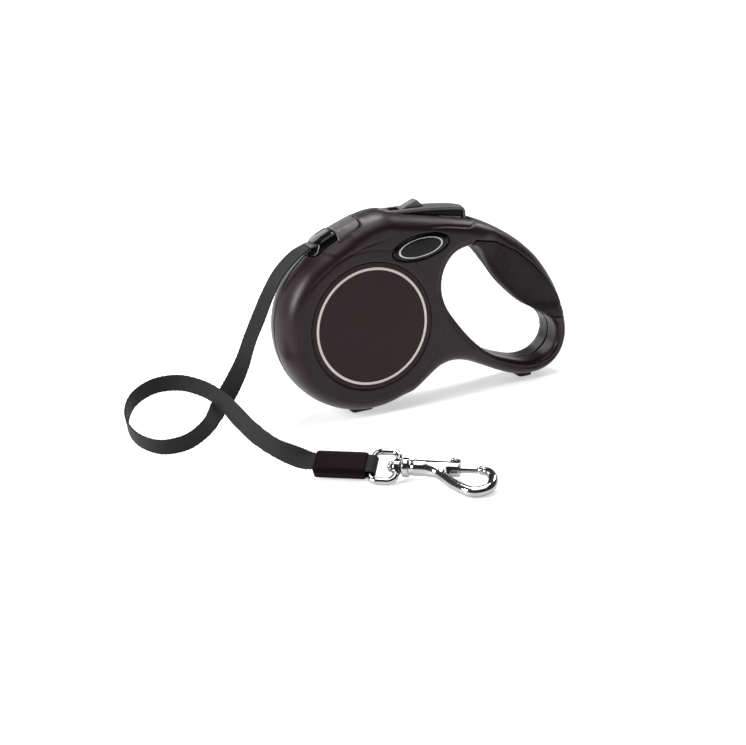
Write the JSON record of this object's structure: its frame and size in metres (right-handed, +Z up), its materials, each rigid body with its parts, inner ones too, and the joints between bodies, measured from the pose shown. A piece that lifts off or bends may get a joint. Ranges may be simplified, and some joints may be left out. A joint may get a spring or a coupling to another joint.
{
  "type": "retractable dog leash",
  "caption": "Retractable tape leash: drum casing with hand loop, brake button on top, sprung spool inside, flat tape with sleeve, swivel eye and snap hook.",
  "frame": {"origin": "on the bottom face of the front foot, straight below the axle, on the surface the leash stands on", "axes": "+X from the tape outlet to the hand loop, +Y to the right side of the casing when the outlet points forward, +Z up"},
  "size_m": [0.2442, 0.1724, 0.1066],
  "materials": {
    "casing_plastic": "satin moulded, brownish black",
    "label_plastic": "matte brown black",
    "gloss_black": "polished black",
    "cap_plastic": "satin dark grey",
    "button_plastic": "satin dark grey",
    "grip_elastomer": "soft touch, dark",
    "foot_rubber": "matte black",
    "webbing": "woven nylon, dark grey",
    "sleeve_vinyl": "soft vinyl, maroon black",
    "spool_plastic": "natural acetal",
    "chrome": "polished nickel chrome",
    "spring_steel": "plain"
  },
  "bodies": {
    "housing": {"casing_left": "casing_plastic", "casing_right": "casing_plastic", "soft_grip": "grip_elastomer", "nose_cap": "cap_plastic", "outlet_guide": "gloss_black", "label_disc_left": "label_plastic", "label_disc_right": "label_plastic", "badge_left": "gloss_black", "badge_right": "gloss_black", "front_foot": "foot_rubber", "rear_foot": "foot_rubber", "screw_crown": "spring_steel", "screw_handle_top": "spring_steel", "screw_handle_end": "spring_steel", "screw_arm": "spring_steel", "axle": "spring_steel", "tape_lead": "webbing", "hinge_pin": "spring_steel", "brake_spring": "spring_steel", "leash_tape": "webbing", "tape_sleeve": "sleeve_vinyl", "tape_loop": "webbing"},
    "spool": {"spool_drum": "spool_plastic", "ratchet_flange": "spool_plastic", "tape_winding": "webbing", "mainspring": "spring_steel", "spring_cover": "spool_plastic"},
    "brake": {"brake_button": "button_plastic", "brake_lever": "spool_plastic"},
    "lock": {"lock_slide": "button_plastic"},
    "eye": {"swivel_eye": "chrome"},
    "hook": {"hook_body": "chrome", "swivel_pin": "chrome", "bolt_spring": "spring_steel"},
    "bolt": {"snap_bolt": "chrome"}
  },
  "joints": [
    {"name": "spool_spin", "type": "hinge", "parent": "housing", "child": "spool", "pos_m": [0, 0, 0.0484], "axis": [0, 1, 0], "continuous": true},
    {"name": "brake_press", "type": "hinge", "parent": "housing", "child": "brake", "pos_m": [0.017, 0, 0.0973], "axis": [0, 1, 0], "range_deg": [0, 5], "stiffness_Nm_per_rad": 2.5, "springref_deg": -2.86, "deforming": ["brake_spring"]},
    {"name": "lock_travel", "type": "slide", "parent": "brake", "child": "lock", "axis": [-1, 0, 0], "range_m": [0, 0.004]},
    {"name": "eye_pivot", "type": "hinge", "parent": "housing", "child": "eye", "pos_m": [-0.03684, -0.08891, 0.0062], "axis": [0.545, 0.673, 0.5], "range_deg": [-60, 60]},
    {"name": "hook_swivel", "type": "hinge", "parent": "eye", "child": "hook", "pos_m": [-0.0234, -0.0998, 0.0062], "axis": [0.7771, -0.6293, 0], "continuous": true},
    {"name": "bolt_slide", "type": "slide", "parent": "hook", "child": "bolt", "axis": [-0.7771, 0.6293, 0], "range_m": [0, 0.006], "stiffness_N_per_m": 600, "springref_m": -0.004, "deforming": ["bolt_spring"]}
  ]
}
